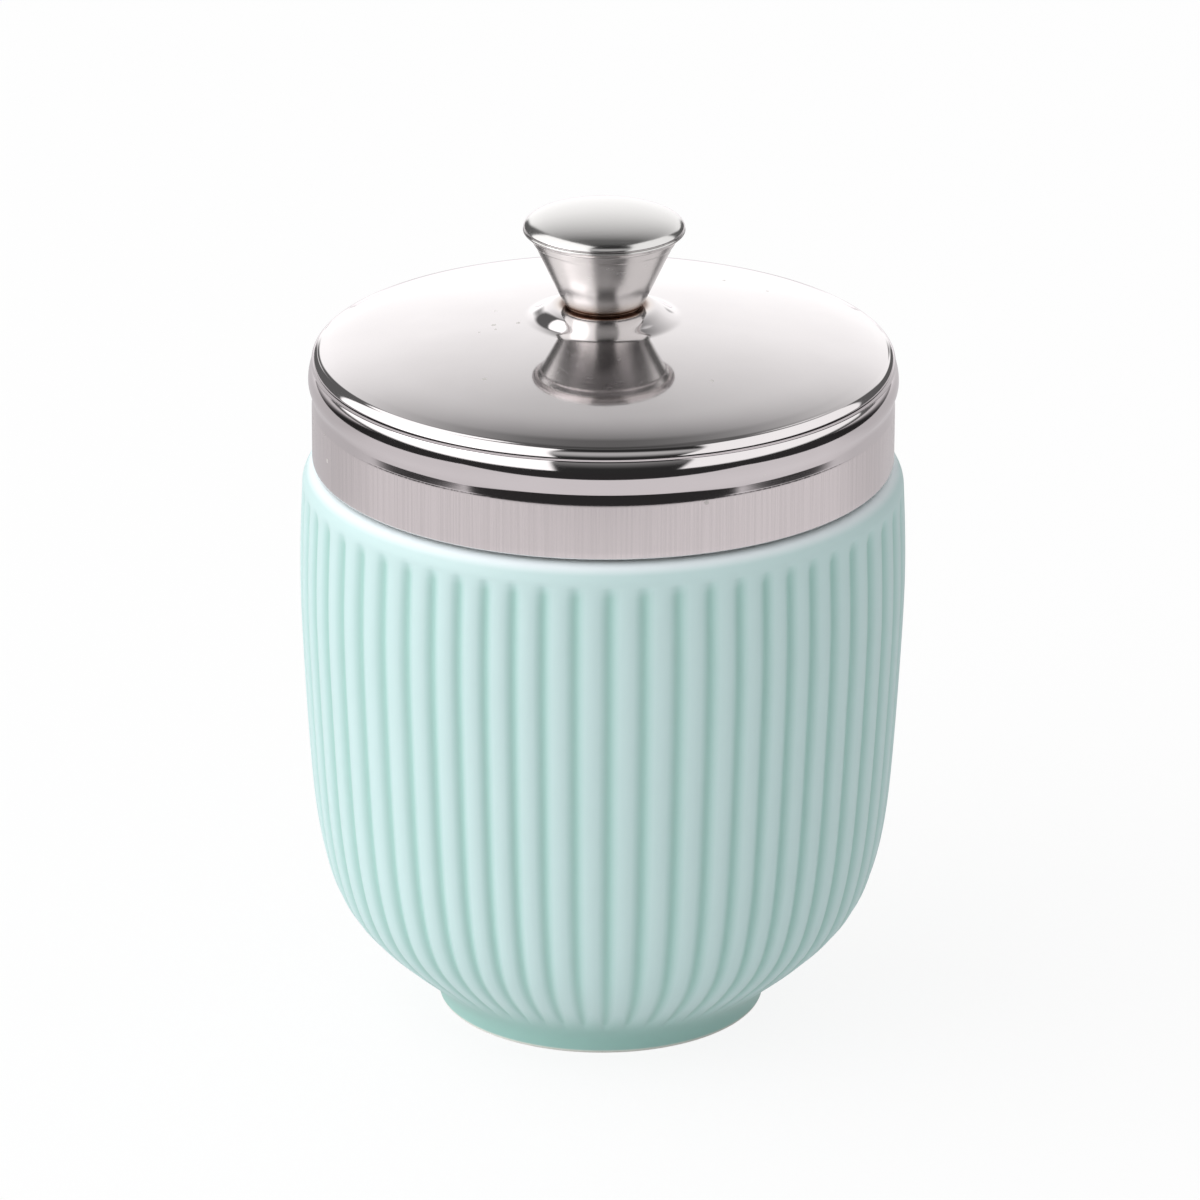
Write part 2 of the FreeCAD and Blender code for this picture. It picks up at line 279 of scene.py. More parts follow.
def rib_depth(z):
    """Depth of a valley, shallower near the foot."""
    return RIB_DEPTH_LOW + (RIB_DEPTH - RIB_DEPTH_LOW) * np.clip((z - FOOT_RISE) / RIB_DEEPEN, 0.0, 1.0)


def helix_ridge(azimuth, z, start_z, late, turns):
    """Ridge on a helix: for each winding, a cosine bump across and a tapered start and end along it."""
    height = np.zeros_like(z)
    turn = np.mod(azimuth - THREAD_START, 2.0 * math.pi)
    begin = late * 2.0 * math.pi
    end = (late + turns) * 2.0 * math.pi
    for winding in range(3):
        along = turn + winding * 2.0 * math.pi
        centre = start_z + LEAD * along / (2.0 * math.pi)
        across = np.clip(np.abs(z - centre) / THREAD_HALF, 0.0, 1.0)
        taper = smooth(0.0, THREAD_TAPER, along - begin) * smooth(0.0, THREAD_TAPER, end - along)
        bump = np.cos(0.5 * math.pi * across ** THREAD_FLAT)
        height = np.maximum(height, bump * taper)
    return height * THREAD_HIGH


def cup_outline():
    """Half section of the cup from under the foot, up outside, over the rim and down inside."""
    foot_in = FOOT_R - FOOT_BAND
    foot_top = (FOOT_R + FOOT_FLARE, FOOT_RISE)
    belly = through([
        foot_top,
        *((BODY_R - inward, FOOT_RISE + up) for inward, up in BELLY_LOW),
        (BODY_R - BELLY_DRAW, BODY_WIDEST_Z - 10.0),
        (BODY_R, BODY_WIDEST_Z),
        (BODY_R - BELLY_DRAW, RIB_TOP_Z - 0.4),
    ], 60)
    crest_r, crest_z = belly[-1]
    ledge_r = crest_r - SHOULDER_W
    quarter = np.linspace(0.0, 0.5 * math.pi, 12)
    shoulder = np.stack([ledge_r + SHOULDER_W * np.cos(quarter),
                         crest_z + (LEDGE_Z - crest_z) * np.sin(quarter)], 1)
    mouth_r = NECK_R - NECK_WALL
    wall_r = BODY_R - WALL
    knee_z = RIB_TOP_Z - 3.7
    mouth_low = (mouth_r, LEDGE_Z + NECK_LOW)
    bowl_edge = (foot_in - BOWL_FLOOR_IN, BOWL_FLOOR_Z)
    inside = through([
        mouth_low,
        (0.3 * mouth_r + 0.7 * wall_r, 0.5 * (knee_z + LEDGE_Z)),
        (wall_r, knee_z - 2.0),
        (wall_r - 0.22 * BOWL_TAPER, 0.5 * (knee_z + BOWL_FLOOR_Z + BOWL_H)),
        (wall_r - BOWL_TAPER, BOWL_FLOOR_Z + BOWL_H),
        (wall_r - 3.4 * BOWL_TAPER, BOWL_FLOOR_Z + 0.34 * BOWL_H),
        bowl_edge,
    ], 34)
    hollow_r = foot_in - FOOT_HOLLOW_ROUND
    return joined(
        line((0, FOOT_HOLLOW), (foot_in - 1.2, FOOT_HOLLOW), 5),
        arc((hollow_r, FOOT_HOLLOW - FOOT_HOLLOW_ROUND), FOOT_HOLLOW_ROUND, 90, 0, 5),
        arc((foot_in + FOOT_EDGE, FOOT_EDGE), FOOT_EDGE, 180, 270, 6),
        line((foot_in + FOOT_EDGE, 0), (FOOT_R - FOOT_EDGE, 0), 4),
        arc((FOOT_R - FOOT_EDGE, FOOT_EDGE), FOOT_EDGE, -90, 0, 6),
        through([(FOOT_R, FOOT_EDGE), (FOOT_R + 0.26 * FOOT_FLARE, 0.55 * FOOT_RISE), foot_top], 8),
        belly,
        shoulder,
        line((ledge_r, LEDGE_Z), (NECK_R + NECK_FILLET, LEDGE_Z), 3),
        arc((NECK_R + NECK_FILLET, LEDGE_Z + NECK_FILLET), NECK_FILLET, 270, 180, 5),
        line((NECK_R, LEDGE_Z + NECK_FILLET), (NECK_R, RIM_Z - RIM_ROUND), 38),
        arc((NECK_R - RIM_ROUND, RIM_Z - RIM_ROUND), RIM_ROUND, 0, 90, 6),
        arc((mouth_r + RIM_ROUND, RIM_Z - RIM_ROUND), RIM_ROUND, 90, 180, 6),
        line((mouth_r, RIM_Z - RIM_ROUND), mouth_low, 3),
        inside,
        line(bowl_edge, (0, BOWL_FLOOR_Z), 4),
    )


def cup():
    """The outline turned round: r = outline - valley * depth on the belly, + helix ridge on the neck."""
    outline = cup_outline()
    even = rib_azimuths()
    top = int(np.argmax(outline[:, 1]))
    outside = np.arange(len(outline))[:, None] <= top
    height = np.repeat(outline[:, 1:], len(even), 1)
    radius = np.repeat(outline[:, :1], len(even), 1)
    counted = np.repeat(even[None, :], len(outline), 0)
    on_belly = outside & (height > FOOT_RISE) & (height < RIB_TOP_Z) & (radius > FOOT_R)
    deep = np.where(on_belly, valley(counted, height), 0.0)
    on_neck = outside & (height > LEDGE_Z + 0.3) & (height < RIM_Z - 0.3)

    def shaped(r, z, a):
        r = r - deep * rib_depth(z)
        ridge = helix_ridge(a, z, NECK_THREAD_Z, 0.0, NECK_THREAD_TURNS)
        return r + np.where(on_neck, ridge, 0.0), z

    neck_side = smooth(LEDGE_Z - 0.15, LEDGE_Z + 0.35, height)
    mint = np.where(outside, 1.0 - neck_side, 0.0)
    return lathe("cup_body", outline, mould_azimuth(even), reshape=shaped,
                 masks={"valley": deep, "mint": mint})


# Lid

def crease():
    """Radius and height where the narrow band meets the dome."""
    edge_r = SKIRT_R - EDGE_ROUND + EDGE_ROUND * math.sin(BAND_SLOPE)
    edge_z = EDGE_Z + EDGE_ROUND * math.cos(BAND_SLOPE)
    return edge_r - BAND_W * math.cos(BAND_SLOPE), edge_z + BAND_W * math.sin(BAND_SLOPE)


def dome_z(r):
    """Height of the dome: a sphere, less k (r - ROLL_FROM)^3 outside ROLL_FROM, through the crease."""
    crease_r, crease_z = crease()
    apex = crease_z + DOME_RISE
    sphere = apex - DOME_R + np.sqrt(DOME_R ** 2 - np.asarray(r) ** 2)
    at_crease = apex - DOME_R + math.sqrt(DOME_R ** 2 - crease_r ** 2)
    roll = (at_crease - crease_z) / (crease_r - ROLL_FROM) ** 3
    return sphere - roll * np.clip(r - ROLL_FROM, 0.0, None) ** 3


def lid_outside():
    """Outer line of the pressing from the skirt's lower edge to the axis."""
    crease_r, crease_z = crease()
    bead_top_r = SKIRT_R + BEAD_PROUD
    cove_r = SKIRT_R - COVE_DEPTH
    notch_r = SKIRT_R - 0.03
    bead_rise = BEAD_HIGH_Z - BEAD_Z
    bead_r = (bead_rise ** 2 + BEAD_PROUD ** 2) / (2.0 * BEAD_PROUD)
    bead_end = math.degrees(math.asin(bead_rise / bead_r))
    beads = joined(
        line((SKIRT_R, SKIRT_TOP_Z), (cove_r, COVE_Z - 0.15), 6),
        through([(cove_r, COVE_Z - 0.1), (cove_r + 0.03, COVE_Z + 0.15),
                 (bead_top_r - 0.13, BEAD_Z - 0.75), (bead_top_r - 0.01, BEAD_Z - 0.2)], 24),
        arc((bead_top_r - bead_r, BEAD_Z), bead_r, 0, bead_end, 24),
        line((notch_r, BEAD_HIGH_Z + 0.08), (notch_r, EDGE_Z), 4),
    )
    across = np.linspace(crease_r - 0.1, 0.0, 110)
    on_boss = smooth(BOSS_TOP_R, BOSS_R, across)
    top = dome_z(across) * on_boss + BOSS_TOP_Z * (1.0 - on_boss)
    slope = math.degrees(BAND_SLOPE)
    band_out = (crease_r + BAND_W * math.cos(BAND_SLOPE) - 0.1,
                crease_z + 0.04 - (BAND_W - 0.1) * math.sin(BAND_SLOPE))
    band_in = (crease_r + 0.12, crease_z - 0.12 * math.tan(BAND_SLOPE))
    return joined(
        line((SKIRT_R, SKIRT_Z + 0.3), (SKIRT_R, SKIRT_TOP_Z - 0.3), 12),
        beads,
        arc((SKIRT_R - EDGE_ROUND, EDGE_Z), EDGE_ROUND, 0, 90 - slope, 18),
        line(band_out, band_in, 6),
        np.stack([across, top], 1),
    )


def sheet_inside(outer, sheet):
    """The same line one sheet thickness inward, along the line's own normals."""
    along = np.gradient(outer, axis=0)
    along /= np.linalg.norm(along, axis=1)[:, None]
    inner = outer + sheet * np.stack([-along[:, 1], along[:, 0]], 1)
    inner[:, 0] = np.clip(inner[:, 0], 0.0, None)
    return inner


def lid_shell():
    """One sheet turned round: the outer line, a round hem and the same line a sheet's thickness inside."""
    outer = lid_outside()
    inner = sheet_inside(outer, SHEET)[::-1]
    inner[0, 0] = 0.0
    hem = arc((SKIRT_R - 0.5 * SHEET, SKIRT_Z + 0.3), 0.5 * SHEET, 180, 360, 10)
    return lathe("lid_pressing", joined(inner, hem, outer), even_turns(288))


def thread_ring():
    """Inner ring: a short tube with rounded edges, an inward lip and the thread's ridge inside."""
    in_r = NECK_R + RING_CLEAR
    lip_r = in_r - RING_LIP
    ring_sheet = RING_R - in_r
    half = 0.5 * ring_sheet
    step_r = RING_R - RING_STEP
    outline = joined(
        arc((in_r + half, RING_Z + half), half, 180, 360, 8),
        line((RING_R, RING_Z + half), (RING_R, SKIRT_TOP_Z - 0.2), 6),
        line((step_r, SKIRT_TOP_Z + 0.3), (step_r, RING_TOP_Z - 0.2), 4),
        line((step_r - 0.2, RING_TOP_Z), (lip_r + half, RING_TOP_Z), 4),
        arc((lip_r + half, RING_TOP_Z - half), half, 90, 270, 8),
        line((lip_r + half, RING_TOP_Z - ring_sheet), (in_r - 0.3, RING_TOP_Z - ring_sheet), 3),
        arc((in_r - 0.3, RING_TOP_Z - ring_sheet - 0.3), 0.3, 90, 0, 4),
        line((in_r, RING_TOP_Z - ring_sheet - 0.3), (in_r, RING_Z + half), 44),
    )[:-1]
    inner_side = np.repeat((np.abs(outline[:, 0] - in_r) < 0.01)[:, None], 360, 1)

    def shaped(r, z, a):
        ridge = helix_ridge(a, z, NECK_THREAD_Z - 0.5 * LEAD, RING_THREAD_LATE, RING_THREAD_TURNS)
        return r - np.where(inner_side, ridge, 0.0), z

    return lathe("inner_thread_ring", outline, even_turns(360), loop=True, reshape=shaped)


def seal_ring():
    """Silicone ring: a flat band with rounded corners and a low lip along its inner edge."""
    in_r = NECK_R - NECK_WALL + SEAL_INSET
    corner = SEAL_CORNER
    top = SEAL_TOP_Z
    outline = joined(
        arc((in_r + corner, SEAL_Z + corner), corner, 180, 270, 5),
        line((in_r + corner, SEAL_Z), (SEAL_R - corner, SEAL_Z), 4),
        arc((SEAL_R - corner, SEAL_Z + corner), corner, 270, 360, 5),
        line((SEAL_R, SEAL_Z + corner), (SEAL_R, top - corner), 3),
        arc((SEAL_R - corner, top - corner), corner, 0, 90, 5),
        line((SEAL_R - corner, top), (in_r + 1.0, top), 4),
        line((in_r + 0.8, top - 0.12), (in_r + 0.6, top - 0.12), 2),
        line((in_r + 0.4, top), (in_r + corner, top), 2),
        arc((in_r + corner, top - corner), corner, 90, 180, 5),
        line((in_r, top - corner), (in_r, SEAL_Z + corner), 3),
    )[:-1]
    return lathe("silicone_seal", outline, even_turns(192), loop=True)


# Knob

def knob_cone():
    """Pressed cup: flat foot, round corner, straight cone and a fine step below its lip."""
    tan = math.tan(KNOB_ANGLE)
    centre = (KNOB_LOW_R - KNOB_LOW_ROUND, BOSS_TOP_Z + KNOB_LOW_ROUND)
    turn = -math.degrees(KNOB_ANGLE)
    corner = arc(centre, KNOB_LOW_ROUND, -90, turn, 16)
    end = corner[-1]
    step_z = CAP_SEAT_Z - CONE_STEP_DROP
    step_r = end[0] + (step_z - end[1]) * tan
    lip_r = end[0] + (CAP_SEAT_Z - end[1]) * tan
    outside = joined(
        line((0, BOSS_TOP_Z), (centre[0], BOSS_TOP_Z), 5),
        corner,
        line(tuple(end), (step_r - CONE_STEP_CUT, step_z), 26),
        line((step_r - 0.3 * CONE_STEP_CUT, step_z + 0.1), (step_r + 0.05, step_z + 0.14), 3),
        line((step_r + 0.06, step_z + 0.16), (lip_r, CAP_SEAT_Z), 6),
    )
    inner_low = BOSS_TOP_Z + KNOB_SHEET
    inside = joined(
        line((lip_r - KNOB_SHEET, CAP_SEAT_Z), (end[0] - KNOB_SHEET, end[1] + 0.2), 5),
        line((centre[0] - 0.2, inner_low), (0, inner_low), 4),
    )
    return lathe("knob_cone_cup", joined(outside, inside), even_turns(160))


def knob_cap():
    """Cap: spigot, flat seat, thin rolled rim, fine groove and a half ellipsoid on top."""
    seat = CAP_SEAT_Z
    rim_z = seat + CAP_RIM_RISE
    rim_h = CAP_RIM_HALF
    dome_z0 = rim_z + CAP_DOME_LIFT
    dome_r = CAP_R - 0.05
    spigot_r = CONE_R - KNOB_SHEET - 0.2
    u = np.linspace(0.0, 0.5 * math.pi, 56)
    dome = np.stack([dome_r * np.cos(u), dome_z0 + (CAP_TOP_Z - dome_z0) * np.sin(u)], 1)
    outline = joined(
        line((0, CAP_LOW_Z), (spigot_r - 0.7, CAP_LOW_Z), 3),
        line((spigot_r, seat - 0.02), (spigot_r + 0.05, seat), 2),
        line((spigot_r + 0.3, seat), (CONE_R + 0.05, seat), 4),
        arc((CONE_R + 0.05, rim_z - rim_h), rim_z - rim_h - seat, -90, -20, 6),
        arc((CAP_R - rim_h, rim_z), rim_h, -80, 80, 9),
        line((CAP_R - 0.2, rim_z + rim_h + 0.02), (CAP_R - 0.2, dome_z0 - 0.05), 2),
        dome,
    )
    return lathe("knob_domed_cap", outline, even_turns(192))


def weld_ring():
    """Thin braze fillet where the knob stands on the boss: a squat torus with a wavering width."""
    around = even_turns(24)
    outline = np.stack([WELD_R + WELD_HALF_W * np.cos(around),
                        BOSS_TOP_Z + 0.07 + WELD_HALF_H * np.sin(around)], 1)

    def shaped(r, z, a):
        waver = 1.0 + 0.12 * np.sin(7.0 * a) + 0.08 * np.sin(17.0 * a + 1.0)
        return WELD_R + (r - WELD_R) * waver, z

    return lathe("knob_braze_fillet", outline, even_turns(144), loop=True, reshape=shaped)


# Materials: linear colours, and roughness from 0 for a mirror to 1

CREST_MINT = (0.540, 0.700, 0.700, 1.0)
# Colour of glaze pooled in the rib valleys, also used as painted shade towards the foot
POOLED_AND_SHADED_MINT = (0.330, 0.545, 0.500, 1.0)
# Partly thin glaze, partly a painted highlight on the shoulder just under the lid
THIN_GLAZE_AND_HIGHLIGHT_MINT = (0.850, 0.920, 0.950, 1.0)
WHITE_GLAZE = (0.800, 0.805, 0.785, 1.0)
BISQUE = (0.780, 0.760, 0.715, 1.0)
LID_STEEL = (0.750, 0.715, 0.718, 1.0)
LID_STEEL_DULL = (0.715, 0.680, 0.684, 1.0)
SKIRT_LIGHT = (0.800, 0.755, 0.755, 1.0)
SKIRT_DARK = (0.730, 0.690, 0.690, 1.0)
KNOB_STEEL = (0.700, 0.685, 0.675, 1.0)
INNER_STEEL = (0.560, 0.555, 0.545, 1.0)
BRAZE = (0.150, 0.095, 0.070, 1.0)
HEAT_STRAW = (0.520, 0.370, 0.240, 1.0)
# Heat tint darkened into painted contact shade at the knob's foot
HEAT_TINT_AND_CONTACT_SHADE = (0.140, 0.075, 0.050, 1.0)
DUST = (0.820, 0.800, 0.770, 1.0)
SILICONE_DULL = (0.680, 0.700, 0.690, 1.0)
SILICONE_LIGHT = (0.800, 0.810, 0.790, 1.0)
GLAZE_ROUGH = 0.42
WHITE_GLAZE_SMOOTHER = 0.18
MIRROR_ROUGH = 0.045
SATIN_ROUGH = 0.13

# Marks on steel: noise scale around, along and away from the axis, dust, then their roughness and height
LID_ROUND_MARKS = {"Around": 5.0, "Along": 2500.0, "Radial": 2500.0, "Dust": 1.0}
LID_UP_MARKS = {"Around": 150.0, "Along": 40.0, "Radial": 0.0, "Dust": 0.0}
CONE_MARKS = {"Around": 4.0, "Along": 2600.0, "Radial": 1500.0, "Dust": 0.7, "Rough": 0.08, "Bump": 0.15}
CAP_MARKS = {"Around": 4.0, "Along": 900.0, "Radial": 1700.0, "Dust": 0.7, "Rough": 0.06, "Bump": 0.15}
RING_MARKS = {"Around": 14.0, "Along": 900.0, "Radial": 300.0, "Dust": 0.0, "Rough": 0.18, "Bump": 0.5}
WELD_MARKS = {"Around": 40.0, "Along": 900.0, "Radial": 900.0, "Dust": 0.0, "Rough": 0.25, "Bump": 0.9}

# Heat tint, whose dark brown core is also painted contact shade where the knob meets the boss: heights on the
# cone, and radii on the boss, where it is clear, straw and brown
CONE_HEAT = ((BOSS_TOP_Z + 0.62) * MM, (BOSS_TOP_Z + 0.15) * MM, (BOSS_TOP_Z + 0.1) * MM)
BOSS_STRAW = (0.0057, 0.0046)
BOSS_TINT_AND_SHADE = (0.0050, 0.0043)


def new_material(name):
    """A material with nodes, its tree and its main shader."""
    material = bpy.data.materials.new(name)
    material.use_nodes = True
    tree = material.node_tree
    shader = tree.nodes["Principled BSDF"]
    return material, tree, shader


def put(tree, kind, inputs=None, **settings):
    """A node with its settings, its plain inputs by name or number, and its links."""
    node = tree.nodes.new(kind)
    for key, value in settings.items():
        setattr(node, key, value)
    for key, value in (inputs or {}).items():
        if isinstance(value, bpy.types.NodeSocket):
            tree.links.new(value, node.inputs[key])
        else:
            node.inputs[key].default_value = value
    return node


def maths(tree, operation, *values, clamp=False):
    """One arithmetic node on sockets or plain numbers."""
    inputs = dict(enumerate(values))
    return put(tree, "ShaderNodeMath", inputs, operation=operation, use_clamp=clamp).outputs[0]


def between(tree, value, low, high, out_low=0.0, out_high=1.0):
    """value from low to high, smoothly mapped to out_low to out_high."""
    inputs = {"Value": value, "From Min": low, "From Max": high, "To Min": out_low, "To Max": out_high}
    return put(tree, "ShaderNodeMapRange", inputs, interpolation_type="SMOOTHSTEP").outputs["Result"]


def mixed(tree, factor, a, b):
    """Colour a where factor is 0 and colour b where it is 1."""
    node = put(tree, "ShaderNodeMix", data_type="RGBA")
    for socket, value in ((node.inputs[0], factor), (node.inputs[6], a), (node.inputs[7], b)):
        if isinstance(value, bpy.types.NodeSocket):
            tree.links.new(value, socket)
        else:
            socket.default_value = value
    return node.outputs[2]


def noise(tree, vector, scale, detail=2.0, rough=0.5):
    """Cloudy noise, about 0.5 on average."""
    inputs = {"Vector": vector, "Scale": scale, "Detail": detail, "Roughness": rough}
    return put(tree, "ShaderNodeTexNoise", inputs).outputs["Fac"]


def group_tree(name, inputs, outputs):
    """A node group with its sockets, and its input and output nodes."""
    tree = bpy.data.node_groups.new(name, "ShaderNodeTree")
    for key in inputs:
        tree.interface.new_socket(name=key, in_out="INPUT", socket_type="NodeSocketFloat")
    for key, kind in outputs:
        tree.interface.new_socket(name=key, in_out="OUTPUT", socket_type=kind)
    start = tree.nodes.new("NodeGroupInput")
    end = tree.nodes.new("NodeGroupOutput")
    return tree, start, end


def turned_place_group():
    """Position about the axis, in metres: radius, height and the unit direction away from the axis."""
    tree, start, end = group_tree(
        "turned_place", [],
        [("Radius", "NodeSocketFloat"), ("Height", "NodeSocketFloat"), ("Direction", "NodeSocketVector")])
    place = put(tree, "ShaderNodeTexCoord").outputs["Object"]
    parts = put(tree, "ShaderNodeSeparateXYZ", {0: place})
    flat = put(tree, "ShaderNodeCombineXYZ", {0: parts.outputs[0], 1: parts.outputs[1]})
    radius = put(tree, "ShaderNodeVectorMath", {0: flat.outputs[0]}, operation="LENGTH").outputs["Value"]
    unit = put(tree, "ShaderNodeVectorMath", {0: flat.outputs[0]}, operation="NORMALIZE").outputs[0]
    tree.links.new(radius, end.inputs["Radius"])
    tree.links.new(parts.outputs[2], end.inputs["Height"])
    tree.links.new(unit, end.inputs["Direction"])


def marks_group():
    """Fine marks of polishing or drawing: noise stretched along or around the axis, and dust."""
    tree, start, end = group_tree(
        "steel_marks",
        ["Around", "Along", "Radial", "Dust"],
        [("Marks", "NodeSocketFloat"), ("Cloud", "NodeSocketFloat"), ("Dust", "NodeSocketFloat")])
    turned = turned_place(tree)
    spun = put(tree, "ShaderNodeVectorMath", {0: turned["Direction"], "Scale": start.outputs["Around"]},
               operation="SCALE")
    rise = maths(tree, "MULTIPLY", turned["Height"], start.outputs["Along"])
    reach = maths(tree, "MULTIPLY", turned["Radius"], start.outputs["Radial"])
    lift = put(tree, "ShaderNodeCombineXYZ", {0: reach, 1: reach, 2: rise}).outputs[0]
    at = put(tree, "ShaderNodeVectorMath", {0: spun.outputs[0], 1: lift}, operation="ADD").outputs[0]
    lines = noise(tree, at, 1.0, 5.0, 0.65)
    place = put(tree, "ShaderNodeTexCoord").outputs["Object"]
    cloud = noise(tree, place, 70.0, 3.0, 0.55)
    specks = put(tree, "ShaderNodeTexVoronoi", {"Vector": place, "Scale": 420.0, "Randomness": 1.0})
    sparse = between(tree, noise(tree, place, 95.0, 1.0), 0.60, 0.68)
    dots = maths(tree, "LESS_THAN", specks.outputs["Distance"], 0.11)
    dust = maths(tree, "MULTIPLY", maths(tree, "MULTIPLY", dots, sparse), start.outputs["Dust"])
    tree.links.new(lines, end.inputs["Marks"])
    tree.links.new(cloud, end.inputs["Cloud"])
    tree.links.new(dust, end.inputs["Dust"])


def turned_place(tree):
    """Radius, height and direction outputs in a material."""
    return put(tree, "ShaderNodeGroup", node_tree=bpy.data.node_groups["turned_place"]).outputs


def steel_marks(tree, marks):
    """Marks, cloud and dust outputs in a material, at the scales that marks gives."""
    scales = {key: marks[key] for key in ("Around", "Along", "Radial", "Dust")}
    return put(tree, "ShaderNodeGroup", scales, node_tree=bpy.data.node_groups["steel_marks"]).outputs


def glaze_material():
    """Satin mint glaze, deeper where it pools in the valleys and paler on the crests, with painted shade
    darkening it towards the foot and a painted highlight, partly thin glaze, paling the shoulder's edge.
    """
    material, tree, shader = new_material("mint_glaze")
    valley_mask = put(tree, "ShaderNodeAttribute", attribute_name="valley").outputs["Fac"]
    mint_mask = put(tree, "ShaderNodeAttribute", attribute_name="mint").outputs["Fac"]
    height = turned_place(tree)["Height"]
    place = put(tree, "ShaderNodeTexCoord").outputs["Object"]
    cloud = noise(tree, place, 55.0, 3.0, 0.5)
    fine = noise(tree, place, 900.0, 3.0, 0.6)
    pooled = maths(tree, "MULTIPLY", valley_mask, 0.85)
    deep = maths(tree, "ADD", pooled, maths(tree, "MULTIPLY", cloud, 0.12))
    # Painted shade: the glaze darkens towards the foot, from 9 mm down to 1.5 mm, in the pooled-glaze colour
    low = between(tree, height, 0.009, 0.0015, 0.0, 0.95)
    deep = maths(tree, "MAXIMUM", deep, low)
    colour = mixed(tree, deep, CREST_MINT, POOLED_AND_SHADED_MINT)
    # Painted highlight, partly thin glaze: the shoulder just under the lid is paled to near white
    pale = between(tree, height, 0.0605, 0.0614, 0.0, 0.9)
    colour = mixed(tree, pale, colour, THIN_GLAZE_AND_HIGHLIGHT_MINT)
    colour = mixed(tree, mint_mask, WHITE_GLAZE, colour)
    pores = put(tree, "ShaderNodeTexVoronoi", {"Vector": place, "Scale": 260.0})
    pin = between(tree, pores.outputs["Distance"], 0.045, 0.02)
    pin = maths(tree, "MULTIPLY", pin, between(tree, cloud, 0.62, 0.7))
    colour = mixed(tree, maths(tree, "MULTIPLY", pin, 0.35), colour, POOLED_AND_SHADED_MINT)
    bare = between(tree, height, 0.00055, 0.0003)
    colour = mixed(tree, bare, colour, BISQUE)
    tree.links.new(colour, shader.inputs["Base Color"])
    gloss = maths(tree, "ADD", maths(tree, "MULTIPLY", cloud, 0.10), GLAZE_ROUGH)
    whitish = maths(tree, "MULTIPLY", maths(tree, "SUBTRACT", 1.0, mint_mask), -WHITE_GLAZE_SMOOTHER)
    gloss = maths(tree, "ADD", gloss, whitish)
    gloss = maths(tree, "MAXIMUM", gloss, maths(tree, "MULTIPLY", bare, 0.8))
    tree.links.new(gloss, shader.inputs["Roughness"])
    ripple = maths(tree, "ADD", maths(tree, "MULTIPLY", cloud, 0.5), maths(tree, "MULTIPLY", fine, 0.06))
    bump = put(tree, "ShaderNodeBump", {"Height": ripple, "Strength": 0.25, "Distance": 0.0004})
    tree.links.new(bump.outputs[0], shader.inputs["Normal"])
    shader.inputs["IOR"].default_value = 1.5
    return material


def steel_material(name, colour, rough, marks, heat=None):
    """Stainless steel with marks around or along the axis, faint clouds, dust and any heat tint, whose brown
    core is also painted contact shade.
    """
    material, tree, shader = new_material(name)
    lines, cloud, dust = steel_marks(tree, marks)
    shade = between(tree, cloud, 0.25, 0.75)
    tone = mixed(tree, shade, tuple(c * 0.96 for c in colour[:3]) + (1.0,), colour)
    if heat is not None:
        clear, straw, brown = heat
        height = turned_place(tree)["Height"]
        near = between(tree, height, clear, straw)
        waver = maths(tree, "ADD", 0.22, maths(tree, "MULTIPLY", cloud, 0.45))
        near = maths(tree, "MULTIPLY", near, waver, clamp=True)
        tone = mixed(tree, near, tone, HEAT_STRAW)
        # Painted contact shade with the heat tint: dark brown at the cone's foot
        tint_and_shade_core = between(tree, height, straw, brown)
        tone = mixed(tree, tint_and_shade_core, tone, HEAT_TINT_AND_CONTACT_SHADE)
    tone = mixed(tree, maths(tree, "MULTIPLY", dust, 0.5), tone, DUST)
    tree.links.new(tone, shader.inputs["Base Color"])
    spread = maths(tree, "MULTIPLY", maths(tree, "SUBTRACT", lines, 0.5), marks["Rough"])
    level = maths(tree, "ADD", maths(tree, "ADD", spread, rough), maths(tree, "MULTIPLY", shade, 0.015))
    level = maths(tree, "ADD", level, maths(tree, "MULTIPLY", dust, 0.5), clamp=True)
    tree.links.new(level, shader.inputs["Roughness"])
    bump = put(tree, "ShaderNodeBump", {"Height": lines, "Strength": marks["Bump"], "Distance": 0.00002})
    tree.links.new(bump.outputs[0], shader.inputs["Normal"])
    shader.inputs["Metallic"].default_value = 1.0
    return material


